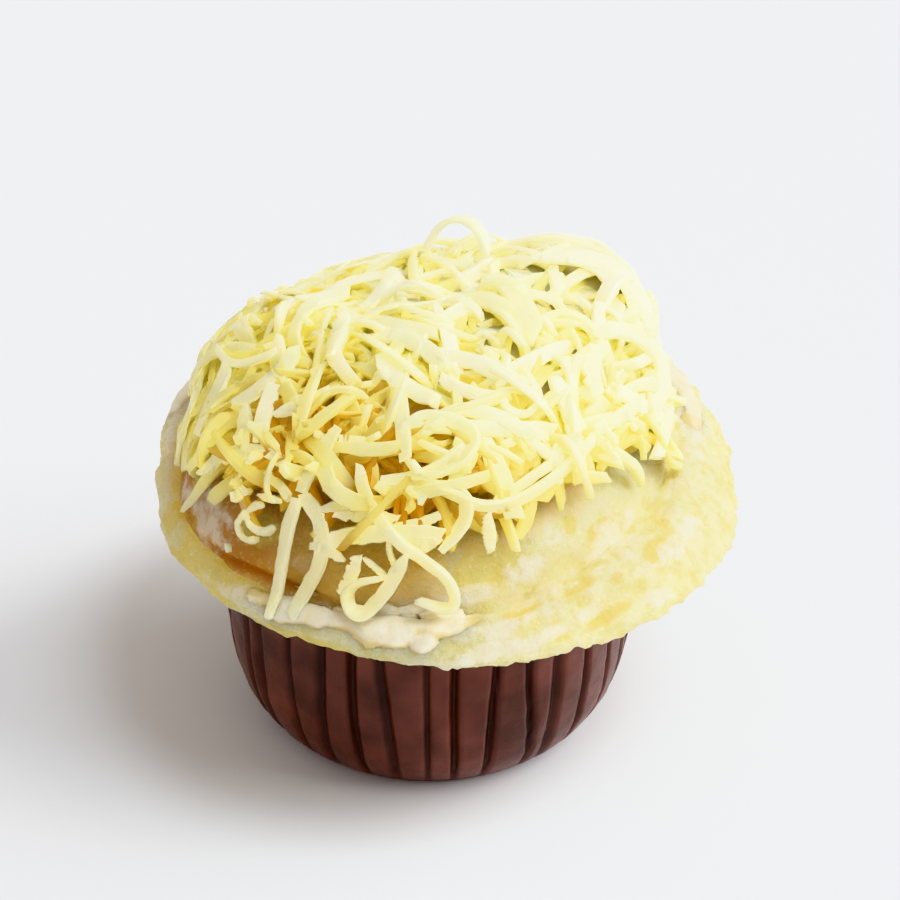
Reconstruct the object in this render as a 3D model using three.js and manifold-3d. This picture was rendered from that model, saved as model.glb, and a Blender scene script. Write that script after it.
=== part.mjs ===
// An ensaymada: a coiled brioche bun baked in a pleated brown paper case, spread with
// buttercream and heaped with grated cheese. Millimetres, +Z up. The origin is the centre
// of the case's flat foot, and -Y is the front, where the longest shreds hang down.
import * as THREE from "three";
import { mergeVertices } from "three/addons/utils/BufferGeometryUtils.js";
import Module from "manifold-3d";

// ---- Driving dimensions ----
const GAP = 0.3; // air left between neighbouring pieces
const TURN = 2 * Math.PI;

// Paper case
const FOOT_RADIUS = 23.5; // flat round foot
const CASE_BELLY = 7.6; // how far the wall swells beyond the foot
const BELLY_RISE = 6.0; // height over which most of that swelling happens
const CASE_HEIGHT = 31;
const PAPER = 0.45;
const PLEATS = 36;
const PLEAT_DEPTH = 1.1;
const PLEAT_WANDER = 0.3; // share of a pleat's width that its folds stray
const CREASE = 0.08; // half the width of a sunk crease, as a share of a pleat

// Bun
const SIDES = 48; // facets round the bun and its buttercream
const RIM_RADIUS = 42.7; // the overhanging outer coil
const RIM_SHIFT = [1.8, 0.3]; // its centre, off the axis of the case
const RIM_WAVE = 0.7; // how far the rim strays in and out, and up and down
const RIM_OVAL = 1.6; // how much longer it is towards the front right
const RIM_HEIGHT = 35.6;
const RIM_BACK = 2.4; // how much further out the rim reaches at the back
const RIM_BACK_RISE = 5.0; // and how much higher it runs there
const SEAM_RADIUS = 36.2; // where the inner coil sinks into the outer one
const SEAM_SHIFT = [-0.8, 0.4];
const SEAM_HEIGHT = 41.6;
const SEAM_RISE = 3.2; // how much higher the seam runs at the right
const SEAM_DEPTH = 1.3;
const SEAM_WAVE = 0.9;
const DOME_HEIGHT = 18.4; // top of the inner coil above the seam
const DOME_SQUARENESS = 2.3; // 2 is an ellipse, more has fuller shoulders
const DOME_WAVE = 0.5; // how far its flanks stray up and down
const CROWN_TOP = SEAM_HEIGHT + DOME_HEIGHT;

// Buttercream
const CREAM = 0.9; // mean thickness
const CREAM_WAVE = 0.45; // how much thicker or thinner it is spread
const CREAM_EDGE = 0.3; // its thickness at the lower edge

// Grated cheese
const HEART = [0, 0, 30]; // the heap is laid out in directions from this point
const SHRED_WIDTH = 2.5;
const SHRED_THICKNESS = 1.2;
const SHRED_SPAN = 4.2; // length between cross-sections, at most
const SHRED_BEND_RADIUS = 42; // of the dome that a shred is laid over
const LOOSE_SHREDS = 34;
const SHRED_SINK = 0.6; // how deep the lowest point of a shred lies in the packed core
const CORE_SHARE = 0.7; // height of the packed core, as a share of the heap
const CORE_RINGS = 8;
const CORE_SIDES = 24;
const CORE_BUMP = 0.45;
const CORE_TUCK = 1.6;
const HEAP_EDGE = 59; // degrees from straight up, seen from the heart, to the core's edge
const HEAP_NOTCH = 7; // how much sooner it stops at the front right
const MOUNDS = [
  // places and sizes of the mounds that make up the heap
  { x: 14, y: 2, radius: 22, height: 7.5 },
  { x: 17, y: 12, radius: 17, height: 4.5 },
  { x: 24, y: 17, radius: 14, height: 4.5 },
  { x: -15, y: -3, radius: 19, height: 3.5 },
  { x: -16, y: 14, radius: 16, height: 3.0 },
  { x: 4, y: -14, radius: 19, height: 4.0 },
];
const SKIRT = 2.6; // thickness of the thin outer layer of the heap
const SKIRT_RADIUS = 34;

// ---- Small helpers ----
const lerp = (a, b, t) => a + (b - a) * t;
const smooth = (low, high, x) => THREE.MathUtils.smoothstep(x, low, high);
const rad = THREE.MathUtils.degToRad;

// A seeded stream of numbers from 0 to 1, the same on every run.
function stream(seed) {
  let state = seed;
  return () => (state = (state * 48271) % 2147483647) / 2147483647;
}

// A smooth, closed wave round the object, from -1 to 1.
function wave(angle, seed) {
  const a = Math.sin(2 * angle + seed);
  const b = Math.sin(3 * angle + 2.3 * seed);
  const c = Math.sin(5 * angle + 4.1 * seed);
  const d = Math.sin(9 * angle + 1.7 * seed);
  return 0.4 * a + 0.3 * b + 0.2 * c + 0.1 * d;
}

// Closes a stack of rings, each an array of [x, y, z], between a first and a last point.
function stacked(first, rings, last) {
  const sides = rings[0].length;
  const points = [first, ...rings.flat(), last];
  const end = points.length - 1;
  const at = (ring, side) => 1 + ring * sides + (side % sides);
  const faces = [];
  for (let s = 0; s < sides; s++) {
    faces.push(0, at(0, s + 1), at(0, s));
    for (let r = 0; r + 1 < rings.length; r++) {
      faces.push(at(r, s), at(r, s + 1), at(r + 1, s + 1));
      faces.push(at(r, s), at(r + 1, s + 1), at(r + 1, s));
    }
    faces.push(at(rings.length - 1, s), at(rings.length - 1, s + 1), end);
  }
  const geometry = new THREE.BufferGeometry();
  geometry.setAttribute("position", new THREE.Float32BufferAttribute(points.flat(), 3));
  geometry.setIndex(faces);
  return geometry;
}

// ---- Paper case ----
const caseRadius = (z) => FOOT_RADIUS + CASE_BELLY * (1 - Math.exp(-z / BELLY_RISE));

// The pleats start shallow at the foot and are at full depth a little above it.
const foldGrowth = (z) => smooth(-0.5, 5, z);

// Each pleat is a flat panel, two fold lines and the sunk paper between them.
function pleatRing(z, inset) {
  const draw = stream(71);
  const ring = [];
  for (let p = 0; p < PLEATS; p++) {
    const stray = PLEAT_WANDER * (draw() - 0.5);
    const width = 0.5 + 0.24 * draw();
    const depth = PLEAT_DEPTH * (0.55 + 0.9 * draw());
    const lean = 0.5 * (draw() - 0.5) * Math.sin(z / 9 + TURN * draw());
    const sunk = (width + 1) / 2;
    [0, width, sunk - CREASE, sunk + CREASE].forEach((share, step) => {
      const angle = ((p + share + stray + lean) / PLEATS) * TURN;
      const fold = step < 2 ? 0 : depth * foldGrowth(z);
      const radius = caseRadius(z) - fold - inset;
      ring.push([radius * Math.cos(angle), radius * Math.sin(angle), z]);
    });
  }
  return ring;
}

function paperCase() {
  const outer = [0, 1.2, 4, 9, 17, CASE_HEIGHT].map((z) => pleatRing(z, 0));
  const inner = [CASE_HEIGHT, 17, 9, 4, PAPER].map((z) => pleatRing(z, PAPER));
  return stacked([0, 0, 0], [...outer, ...inner], [0, 0, PAPER]);
}

// ---- Bun ----
// The body of the bun inside the case, clear of the deepest fold.
const bunRadius = (z) => caseRadius(z) - 1.45 * PLEAT_DEPTH * foldGrowth(z) - PAPER - GAP;

// Where the rim and the seam run at one angle round the bun: radii and heights.
function rimAndSeam(angle) {
  const c = Math.cos(angle);
  const s = Math.sin(angle);
  const back = smooth(-0.2, 0.9, s);
  const rimShift = RIM_SHIFT[0] * c + RIM_SHIFT[1] * s;
  const oval = RIM_OVAL * Math.cos(2 * angle + Math.PI / 2);
  const seamShift = SEAM_SHIFT[0] * c + SEAM_SHIFT[1] * s;
  const seamTilt = SEAM_RISE * Math.cos(angle - 0.5) + 0.6 * RIM_BACK_RISE * back;
  return {
    rim: RIM_RADIUS + rimShift + oval + RIM_BACK * back + RIM_WAVE * wave(angle, 0.8),
    rimZ: RIM_HEIGHT + RIM_BACK_RISE * back + RIM_WAVE * wave(angle, 2.9),
    seam: SEAM_RADIUS + seamShift + SEAM_WAVE * wave(angle, 5.2),
    seamZ: SEAM_HEIGHT + seamTilt + SEAM_WAVE * wave(angle, 1.4),
  };
}

// The bun's outline at one angle round it, above the case: [radius, height] pairs.
function crown(angle) {
  const { rim, rimZ, seam, seamZ } = rimAndSeam(angle);
  const outline = [
    [rim - 1.0, rimZ - 1.3], // under the rim
    [rim, rimZ],
    [rim - 0.6, rimZ + 1.7],
    [lerp(rim, seam, 0.5), lerp(rimZ, seamZ, 0.78) + 1.2], // top of the outer coil
    [seam + 1.1, seamZ + 0.5],
    [seam, seamZ - SEAM_DEPTH],
    [seam - 0.3, seamZ + 1.0], // foot of the inner coil
  ];
  const dome = seam - 0.6;
  for (const share of [0.25, 0.45, 0.63, 0.79, 0.92]) {
    const sweep = (share * Math.PI) / 2;
    const out = Math.cos(sweep) ** (2 / DOME_SQUARENESS);
    const up = Math.sin(sweep) ** (2 / DOME_SQUARENESS);
    const swell = DOME_WAVE * out * wave(angle, 3.3 + share);
    outline.push([dome * out, lerp(seamZ, CROWN_TOP, up) + swell]);
  }
  return outline;
}

// The same outline moved outwards by a distance that may differ from point to point.
function grown(outline, distance) {
  return outline.map(([r, z], i) => {
    const before = outline[Math.max(0, i - 1)];
    const after = outline[i + 1] ?? [0, z];
    const length = Math.hypot(after[0] - before[0], after[1] - before[1]);
    const out = (after[1] - before[1]) / length;
    const up = (before[0] - after[0]) / length;
    return [r + distance(i) * out, z + distance(i) * up];
  });
}

const ANGLES = Array.from({ length: SIDES }, (_, i) => (i / SIDES) * TURN);

// Turns one outline for each angle into rings, lowest first.
function ringsOf(outlines) {
  return outlines[0].map((_, row) =>
    outlines.map((outline, i) => {
      const [r, z] = outline[row];
      return [r * Math.cos(ANGLES[i]), r * Math.sin(ANGLES[i]), z];
    }),
  );
}

const flatRing = (radius, z) => ANGLES.map((a) => [radius * Math.cos(a), radius * Math.sin(a), z]);

function bun() {
  const foot = PAPER + GAP;
  const body = [foot + 1.2, 4, 9, 17, CASE_HEIGHT - 1].map((z) => flatRing(bunRadius(z), z));
  const neck = flatRing(bunRadius(CASE_HEIGHT) + 3.4, CASE_HEIGHT + GAP + 0.4);
  const rings = [
    flatRing(bunRadius(foot) - 1.4, foot),
    ...body,
    flatRing(bunRadius(CASE_HEIGHT), CASE_HEIGHT + GAP),
    neck,
    ...ringsOf(ANGLES.map(crown)),
  ];
  return stacked([0, 0, foot], rings, [0, 0, CROWN_TOP]);
}

// ---- Buttercream ----
const CREAM_ROW = 3; // the row of the crown that its lower edge follows

// Thickness of the buttercream at one row of the crown: thin at the edge, uneven above.
function creamThickness(row, angle) {
  if (row <= CREAM_ROW) return CREAM_EDGE;
  return CREAM + CREAM_WAVE * wave(angle, 0.6 * row);
}

function buttercream() {
  const inside = ANGLES.map((a) => grown(crown(a), () => GAP).slice(CREAM_ROW));
  const outside = ANGLES.map((a) =>
    grown(crown(a), (row) => GAP + creamThickness(row, a)).slice(CREAM_ROW),
  );
  const rings = [...ringsOf(inside).reverse(), ...ringsOf(outside)];
  return stacked([0, 0, CROWN_TOP + GAP], rings, [0, 0, CROWN_TOP + GAP + CREAM]);
}

// The bed that the cheese lies on: the buttercream's outside and a gap over it.
const BED_TOP = CROWN_TOP + 2 * GAP + CREAM;
const BED_FLOOR = 25;

const bedOutline = (angle) =>
  grown(crown(angle), (row) => 2 * GAP + creamThickness(row, angle));

function bedSolid() {
  const outlines = ANGLES.map((a) => bedOutline(a).slice(1));
  const floor = flatRing(FOOT_RADIUS, BED_FLOOR);
  return stacked([0, 0, BED_FLOOR], [floor, ...ringsOf(outlines)], [0, 0, BED_TOP]);
}

// ---- Grated cheese ----
// How far the bed lies from the heart, along a direction.
function bedReach(direction) {
  const angle = Math.atan2(direction.y, direction.x);
  const flat = Math.hypot(direction.x, direction.y);
  const outline = [...bedOutline(angle), [0, BED_TOP]];
  for (let i = 0; i + 1 < outline.length; i++) {
    const [r0, z0] = outline[i];
    const [r1, z1] = outline[i + 1];
    const side0 = r0 * direction.z - (z0 - HEART[2]) * flat;
    const side1 = r1 * direction.z - (z1 - HEART[2]) * flat;
    if (side0 >= 0 && side1 <= 0) {
      const t = side0 / (side0 - side1 || 1);
      return Math.hypot(lerp(r0, r1, t), lerp(z0, z1, t) - HEART[2]);
    }
  }
  return Math.hypot(outline[0][0], outline[0][1] - HEART[2]);
}

// Height of the heap over the bed, seen in plan.
function heapHeight(x, y) {
  const inside = Math.max(0, 1 - (x * x + y * y) / SKIRT_RADIUS ** 2);
  let height = SKIRT * Math.sqrt(inside);
  for (const mound of MOUNDS) {
    const d2 = ((x - mound.x) ** 2 + (y - mound.y) ** 2) / mound.radius ** 2;
    if (d2 < 1) height += mound.height * (1 - d2) ** 1.2;
  }
  return height;
}

// The point of the packed core along a direction, moved out by a lift.
function heapPoint(direction, lift) {
  const reach = bedReach(direction);
  const height = CORE_SHARE * heapHeight(reach * direction.x, reach * direction.y);
  return direction
    .clone()
    .multiplyScalar(reach + height + lift)
    .add(new THREE.Vector3(...HEART));
}

const directionOf = (azimuth, polar) =>
  new THREE.Vector3(
    Math.sin(polar) * Math.cos(azimuth),
    Math.sin(polar) * Math.sin(azimuth),
    Math.cos(polar),
  );

// The angle from straight up at which the packed core ends.
function heapEdge(azimuth) {
  const notch = HEAP_NOTCH * Math.max(0, Math.cos(azimuth + 1)) ** 4;
  return rad(HEAP_EDGE - notch + 3 * wave(azimuth, 2.1));
}

// The packed core, with a bumpy top and its edge tucked into the bed.
function heapCore() {
  const draw = stream(5);
  const rings = [];
  for (let i = 0; i < CORE_RINGS; i++) {
    rings.push(
      Array.from({ length: CORE_SIDES }, (_, k) => {
        const azimuth = ((k + 0.5 * (i % 2)) / CORE_SIDES) * TURN;
        const polar = lerp(heapEdge(azimuth), rad(7), i / (CORE_RINGS - 1));
        const tuck = i === 0 ? CORE_TUCK : 0;
        const lift = CORE_BUMP * (2 * draw() - 1) - tuck;
        return heapPoint(directionOf(azimuth, polar), lift).toArray();
      }),
    );
  }
  const floor = rings[0].map(([x, y, z]) => [0.7 * x, 0.7 * y, lerp(HEART[2], z, 0.7)]);
  const top = heapPoint(directionOf(0, 0), 0).toArray();
  return stacked([0, 0, BED_FLOOR + 10], [floor, ...rings], top);
}

// Cross-sections of a free shred along +X: a ribbon that curls about its width, bows to
// one side and twists, each so many degrees from end to end, rolled about its length.
function freeShred({ length, curl = 0, bow = 0, twist = 0, roll = 0 }) {
  const spans = Math.ceil(length / SHRED_SPAN);
  const turn = new THREE.Quaternion().setFromEuler(
    new THREE.Euler(rad(twist) / spans, rad(curl) / spans, rad(bow) / spans),
  );
  const frame = new THREE.Quaternion().setFromAxisAngle(new THREE.Vector3(1, 0, 0), rad(roll));
  const place = new THREE.Vector3();
  const stations = [];
  for (let i = 0; i <= spans; i++) {
    stations.push({ centre: place.clone(), frame: frame.clone() });
    place.add(new THREE.Vector3(length / spans, 0, 0).applyQuaternion(frame));
    frame.multiply(turn);
  }
  return stations;
}

// The four corners of each cross-section, narrower towards the ends, after the shred's
// chord is turned level and its middle brought to the origin.
function shredRings(stations) {
  const last = stations.length - 1;
  const chord = stations[last].centre.clone().normalize();
  const level = new THREE.Quaternion().setFromUnitVectors(chord, new THREE.Vector3(1, 0, 0));
  const middle = new THREE.Vector3();
  stations.forEach(({ centre }) => middle.addScaledVector(centre, 1 / stations.length));
  const corners = [[-1, -1], [1, -1], [1, 1], [-1, 1]];
  return stations.map(({ centre, frame }, i) => {
    const taper = i % last === 0 ? 0.5 : 1;
    return corners.map(([u, v]) =>
      new THREE.Vector3(0, (u * taper * SHRED_WIDTH) / 2, (v * SHRED_THICKNESS) / 2)
        .applyQuaternion(frame)
        .add(centre)
        .sub(middle)
        .applyQuaternion(level),
    );
  });
}

// One shred laid over the core, its lowest point just sunk in. Its middle lies where azimuth
// and polar point from the heart, and it heads so many degrees from east up the heap.
function shred({ azimuth, polar, heading, ...form }) {
  const middle = directionOf(rad(azimuth), rad(polar));
  const east = directionOf(rad(azimuth + 90), Math.PI / 2);
  const along = east.applyAxisAngle(middle, rad(heading));
  const across = new THREE.Vector3().crossVectors(middle, along);
  const free = shredRings(freeShred(form));
  const lift = -SHRED_SINK - Math.min(...free.flat().map((point) => point.z));
  const rings = free.map((ring) =>
    ring.map((point) => {
      const towards = along.clone().multiplyScalar(point.x).addScaledVector(across, point.y);
      const swing = towards.length() / SHRED_BEND_RADIUS;
      const direction = middle.clone().multiplyScalar(Math.cos(swing));
      direction.addScaledVector(towards.normalize(), Math.sin(swing));
      return heapPoint(direction, point.z + lift).toArray();
    }),
  );
  const middleOf = (ring) => [0, 1, 2].map((k) => ring.reduce((sum, p) => sum + p[k] / 4, 0));
  return stacked(middleOf(rings[0]), rings, middleOf(rings.at(-1)));
}

// The shreds that stand out: the long ones that hang over the front left, the loops in
// front and the wide bows across the heap.
const NAMED_SHREDS = [
  { azimuth: 237, polar: 47, heading: -96, length: 14, bow: 18, roll: 10 },
  { azimuth: 237, polar: 65, heading: -90, length: 22, roll: 15 },
  { azimuth: 243, polar: 63, heading: -84, length: 22, bow: -56 },
  { azimuth: 266, polar: 60, heading: -63, length: 27, bow: -167 },
  { azimuth: 259, polar: 68, heading: -45, length: 25, bow: 228 },
  { azimuth: 260, polar: 58, heading: 8, length: 17, bow: -24 },
  { azimuth: 291, polar: 49, heading: -5, length: 32, bow: 108 },
  { azimuth: 275, polar: 41, heading: -79, length: 21, bow: -250 },
  { azimuth: 291, polar: 38, heading: -14, length: 18, bow: 20 },
  { azimuth: 184, polar: 58, heading: -47, length: 18, bow: -73 },
  { azimuth: 214, polar: 51, heading: -54, length: 14, bow: -41 },
  { azimuth: 221, polar: 51, heading: 18, length: 15, bow: -36 },
  { azimuth: 229, polar: 61, heading: -21, length: 13, bow: 330 },
  { azimuth: 314, polar: 44, heading: -106, length: 15, bow: -23 },
  { azimuth: 350, polar: 54, heading: -152, length: 18, bow: -27 },
];

function looseShreds() {
  const draw = stream(2024);
  const shreds = [];
  for (let i = 0; i < LOOSE_SHREDS; i++) {
    const azimuth = i * 137.5 + 40 * (draw() - 0.5);
    const polar = 58 * Math.sqrt((i + 0.5) / LOOSE_SHREDS) + 4 * (draw() - 0.5);
    shreds.push({
      azimuth,
      polar,
      heading: 360 * draw(),
      length: 12 + 13 * draw(),
      curl: (draw() - 0.5) * 260,
      twist: (draw() - 0.5) * 160,
      roll: (draw() - 0.5) * 90,
    });
  }
  return shreds;
}

const wasm = await Module();
wasm.setup();

function solid(geometry) {
  const merged = mergeVertices(geometry, 1e-4);
  return new wasm.Manifold(
    new wasm.Mesh({
      numProp: 3,
      vertProperties: merged.attributes.position.array,
      triVerts: new Uint32Array(merged.index.array),
    }),
  );
}

function geometryOf(manifold) {
  const mesh = manifold.getMesh();
  const geometry = new THREE.BufferGeometry();
  geometry.setAttribute("position", new THREE.BufferAttribute(mesh.vertProperties, 3));
  geometry.setIndex(new THREE.BufferAttribute(mesh.triVerts, 1));
  return geometry;
}

function gratedCheese() {
  let heap = solid(heapCore());
  for (const one of [...NAMED_SHREDS, ...looseShreds()]) {
    heap = heap.add(solid(shred(one)));
  }
  heap = heap.subtract(solid(bedSolid()));
  const bodies = heap.decompose().sort((a, b) => b.volume() - a.volume());
  return geometryOf(bodies[0]);
}

// ---- The object ----
const paper = new THREE.MeshStandardMaterial({ color: "#6b3a2c", roughness: 0.6 });
const crust = new THREE.MeshStandardMaterial({ color: "#e0c48a", roughness: 0.55 });
const cream = new THREE.MeshStandardMaterial({ color: "#f2ead0", roughness: 0.4 });
const cheese = new THREE.MeshStandardMaterial({ color: "#f3e9a8", roughness: 0.5 });

const ensaymada = new THREE.Group();
for (const [name, geometry, material] of [
  ["paper_case", paperCase(), paper],
  ["bun", bun(), crust],
  ["buttercream", buttercream(), cream],
  ["grated_cheese", gratedCheese(), cheese],
]) {
  const mesh = new THREE.Mesh(geometry, material);
  mesh.name = name;
  ensaymada.add(mesh);
}

export default ensaymada;
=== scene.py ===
"""The looks of an ensaymada: a coiled brioche bun in a pleated brown paper case, spread with
buttercream and heaped with grated cheese. Sizes are in metres, in the frame of the solids:
+Z up, -Y the front, the origin at the centre of the case's flat foot."""
import math

import bmesh
import bpy
import numpy as np
from bpy.props import FloatProperty, FloatVectorProperty, IntProperty, PointerProperty
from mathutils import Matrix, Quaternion, Vector, noise
from mathutils.bvhtree import BVHTree


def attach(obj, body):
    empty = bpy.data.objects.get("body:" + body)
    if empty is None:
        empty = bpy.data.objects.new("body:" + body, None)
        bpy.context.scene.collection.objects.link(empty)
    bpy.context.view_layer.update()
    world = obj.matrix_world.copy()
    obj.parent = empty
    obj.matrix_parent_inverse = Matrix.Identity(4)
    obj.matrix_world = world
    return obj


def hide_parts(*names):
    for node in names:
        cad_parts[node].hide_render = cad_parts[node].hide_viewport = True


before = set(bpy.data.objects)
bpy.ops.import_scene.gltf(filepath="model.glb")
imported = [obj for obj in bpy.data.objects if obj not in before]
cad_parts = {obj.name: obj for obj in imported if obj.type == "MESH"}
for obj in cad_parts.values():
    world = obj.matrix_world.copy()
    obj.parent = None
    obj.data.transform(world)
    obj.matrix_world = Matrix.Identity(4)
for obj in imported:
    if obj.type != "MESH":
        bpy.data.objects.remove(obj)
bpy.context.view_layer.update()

bl_info = {
    "name": "Ensaymada",
    "version": (1, 0, 0),
    "blender": (4, 5, 0),
    "location": "View3D > Sidebar > Ensaymada",
    "description": "Dresses an ensaymada: paper case, bun, buttercream and grated cheese",
    "category": "Object",
}

MM = 0.001
BODY = "root"


# ---- Small helpers ----
def linear(hex_colour):
    """An sRGB hex colour as linear red, green, blue and alpha."""
    digits = hex_colour.lstrip("#")
    shares = [int(digits[i : i + 2], 16) / 255 for i in (0, 2, 4)]
    turned = [c / 12.92 if c <= 0.04045 else ((c + 0.055) / 1.055) ** 2.4 for c in shares]
    return (*turned, 1.0)


def lerp(a, b, t):
    return a + (b - a) * t


def smooth(low, high, x):
    """0 at low and 1 at high, with a soft step between them."""
    t = np.clip((x - low) / (high - low), 0, 1)
    return t * t * (3 - 2 * t)


def degrees_from(angle, azimuth):
    """How far angles in radians lie from an azimuth in degrees, from -180 to 180 degrees."""
    return (np.degrees(angle) - azimuth + 180) % 360 - 180


def facing(angle, azimuth, spread, full=0):
    """1 up to some degrees from an azimuth, falling to 0 at a spread either side of it."""
    return smooth(spread, full, np.abs(degrees_from(angle, azimuth)))


def stream(seed):
    """A seeded stream of numbers from 0 to 1, the same as the solids were laid out with."""
    state = seed
    while True:
        state = state * 48271 % 2147483647
        yield state / 2147483647


def wave(angle, seed):
    """A smooth, closed wave round the object, from -1 to 1."""
    a = np.sin(2 * angle + seed)
    b = np.sin(3 * angle + 2.3 * seed)
    c = np.sin(5 * angle + 4.1 * seed)
    d = np.sin(9 * angle + 1.7 * seed)
    return 0.4 * a + 0.3 * b + 0.2 * c + 0.1 * d


def rough(points, grain, octaves=3, seed=0.0, stretch=(1, 1, 1)):
    """Fractal noise from about -1 to 1 at each point, with lumps about one grain wide."""
    shift = np.array((seed, 1.7 * seed, -0.6 * seed))
    places = points * (np.array(stretch) / grain) + shift
    return np.array([noise.fractal(Vector(p), 1.0, 2.0, octaves) for p in places])


def coordinates(obj):
    flat = np.empty(len(obj.data.vertices) * 3)
    obj.data.vertices.foreach_get("co", flat)
    return flat.reshape(-1, 3)


def normals(obj):
    flat = np.empty(len(obj.data.vertices) * 3)
    obj.data.vertex_normals.foreach_get("vector", flat)
    return flat.reshape(-1, 3)


def put(obj, points):
    obj.data.vertices.foreach_set("co", np.ascontiguousarray(points, dtype=float).ravel())
    obj.data.update()


def paint(obj, name, values):
    """Stores one number for each vertex, which the piece's material reads."""
    layer = obj.data.attributes.new(name, "FLOAT", "POINT")
    layer.data.foreach_set("value", np.asarray(values, dtype=np.float32))


def deselect():
    bpy.ops.object.select_all(action="DESELECT")


def activate(obj):
    deselect()
    obj.select_set(True)
    bpy.context.view_layer.objects.active = obj
    return obj


def named(name):
    """The object an operator has just added, renamed."""
    obj = bpy.context.view_layer.objects.active
    obj.name = name
    obj.data.name = name
    return obj


def apply_modifier(obj, kind, **settings):
    activate(obj)
    modifier = obj.modifiers.new(kind.title(), kind)
    for name, value in settings.items():
        setattr(modifier, name, value)
    bpy.ops.object.modifier_apply(modifier=modifier.name)


def subdivide(obj, levels):
    apply_modifier(obj, "SUBSURF", levels=levels, render_levels=levels)


def finish_piece(obj, slot, material, *solids):
    """Smooths a piece, gives it its finish and ties it to the solids that it stands for."""
    activate(obj)
    bpy.ops.object.shade_smooth()
    obj.data.materials.clear()
    obj.data.materials.append(material)
    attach(obj, BODY)
    if solids:
        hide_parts(*solids)


def solid_copy(node, name):
    """A copy of a solid, with its corners merged and its triangles paired into quads."""
    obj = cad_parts[node].copy()
    obj.data = obj.data.copy()
    obj.parent = None
    for key in list(obj.keys()):
        del obj[key]
    bpy.context.scene.collection.objects.link(obj)
    obj.hide_viewport = False
    obj.hide_render = False
    activate(obj)
    obj.name = name
    obj.data.name = name
    bpy.ops.object.mode_set(mode="EDIT")
    bpy.ops.mesh.select_all(action="SELECT")
    bpy.ops.mesh.remove_doubles(threshold=0.01 * MM)
    bpy.ops.mesh.tris_convert_to_quads(
        face_threshold=math.radians(60), shape_threshold=math.radians(180)
    )
    bpy.ops.object.mode_set(mode="OBJECT")
    return obj


# ---- The bun's seam, as in its solid ----
SEAM_RADIUS = 36.2 * MM
SEAM_SHIFT = (-0.8 * MM, 0.4 * MM)
SEAM_HEIGHT = 41.6 * MM
SEAM_RISE = 3.2 * MM  # how much higher the seam runs at the right
BACK_RISE = 3.0 * MM  # and at the back
SEAM_WAVE = 0.9 * MM


def seam_at(angle):
    """Radius and height of the seam between the coils, at an angle round the bun."""
    shift = SEAM_SHIFT[0] * np.cos(angle) + SEAM_SHIFT[1] * np.sin(angle)
    tilt = SEAM_RISE * np.cos(angle - 0.5) + BACK_RISE * smooth(-0.2, 0.9, np.sin(angle))
    radius = SEAM_RADIUS + shift + SEAM_WAVE * wave(angle, 5.2)
    height = SEAM_HEIGHT + tilt + SEAM_WAVE * wave(angle, 1.4)
    return radius, height


# ---- The bed under the cheese and the form of the heap ----
HEART = np.array([0, 0, 30 * MM])  # the heap is laid out in directions from this point
GAP = 0.3 * MM  # air between the bed and the heap
SKIRT = 2.6 * MM  # thickness of the heap's thin outer layer
SKIRT_RADIUS = 34 * MM
BEND_RADIUS = 42 * MM  # of the dome that a shred is laid over
HEAP_EDGE = 59  # degrees from straight up to the heap's edge
HEAP_NOTCH = 7  # how much sooner it stops at the front right
HOLLOW_AZIMUTH = 248  # of the shaded hollow at the front left
OPEN_SIDE = np.array([0.35, 0.35, 0.87])  # towards the light, above and behind at the right
MOUNDS = (
    # x, y, radius and height of the mounds that make up the heap, in millimetres
    (14, 2, 22, 7.5),
    (15, 12, 16, 4.2),
    (23, 13, 13, 3.2),
    (-3, 12, 11, 5.0),
    (-15, -3, 19, 3.5),
    (-20, 8, 15, 2.4),
    (4, -14, 19, 4.0),
)


def direction_of(azimuth, polar):
    """Unit vectors from the heart of the bun, for angles in radians."""
    return np.stack(
        [np.sin(polar) * np.cos(azimuth), np.sin(polar) * np.sin(azimuth), np.cos(polar)], -1
    )


def angles_of(directions):
    """The azimuth and the angle from straight up of unit vectors, in radians."""
    azimuth = np.arctan2(directions[:, 1], directions[:, 0])
    return azimuth, np.arccos(np.clip(directions[:, 2], -1, 1))


def outwards_at(points):
    """Unit vectors from the heart of the bun to each point."""
    away = points - HEART
    return away / np.linalg.norm(away, axis=1)[:, None]


class Bed:
    """How far the bun and its buttercream lie from the heart, in every direction."""

    AROUND = 180
    DOWN = 57
    LOWEST = math.radians(84)
    FAR = 0.2  # from the heart, outside the whole object

    def __init__(self, nodes):
        trees = [self.tree_of(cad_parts[name]) for name in nodes]
        azimuths = np.linspace(0, 2 * math.pi, self.AROUND + 1)
        polars = np.linspace(0, self.LOWEST, self.DOWN)
        self.table = np.array(
            [[self.furthest(trees, direction_of(a, b)) for b in polars] for a in azimuths]
        )

    @staticmethod
    def tree_of(obj):
        mesh = obj.data
        points = [v.co.copy() for v in mesh.vertices]
        return BVHTree.FromPolygons(points, [tuple(p.vertices) for p in mesh.polygons])

    @staticmethod
    def furthest(trees, direction):
        """The outermost surface along a ray from the heart, found from outside."""
        start = Vector(HEART + Bed.FAR * direction)
        hits = [tree.ray_cast(start, Vector(-direction)) for tree in trees]
        return max(Bed.FAR - hit[3] for hit in hits if hit[0] is not None)

    def reach(self, directions):
        """The bed's distance from the heart, read between the table's entries."""
        azimuth, polar = angles_of(directions)
        a = azimuth % (2 * math.pi) / (2 * math.pi) * self.AROUND
        b = np.clip(polar / self.LOWEST, 0, 0.9999) * (self.DOWN - 1)
        i = np.minimum(a.astype(int), self.AROUND - 1)
        j = b.astype(int)
        upper = lerp(self.table[i, j], self.table[i + 1, j], a - i)
        lower = lerp(self.table[i, j + 1], self.table[i + 1, j + 1], a - i)
        return lerp(upper, lower, b - j)


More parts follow.
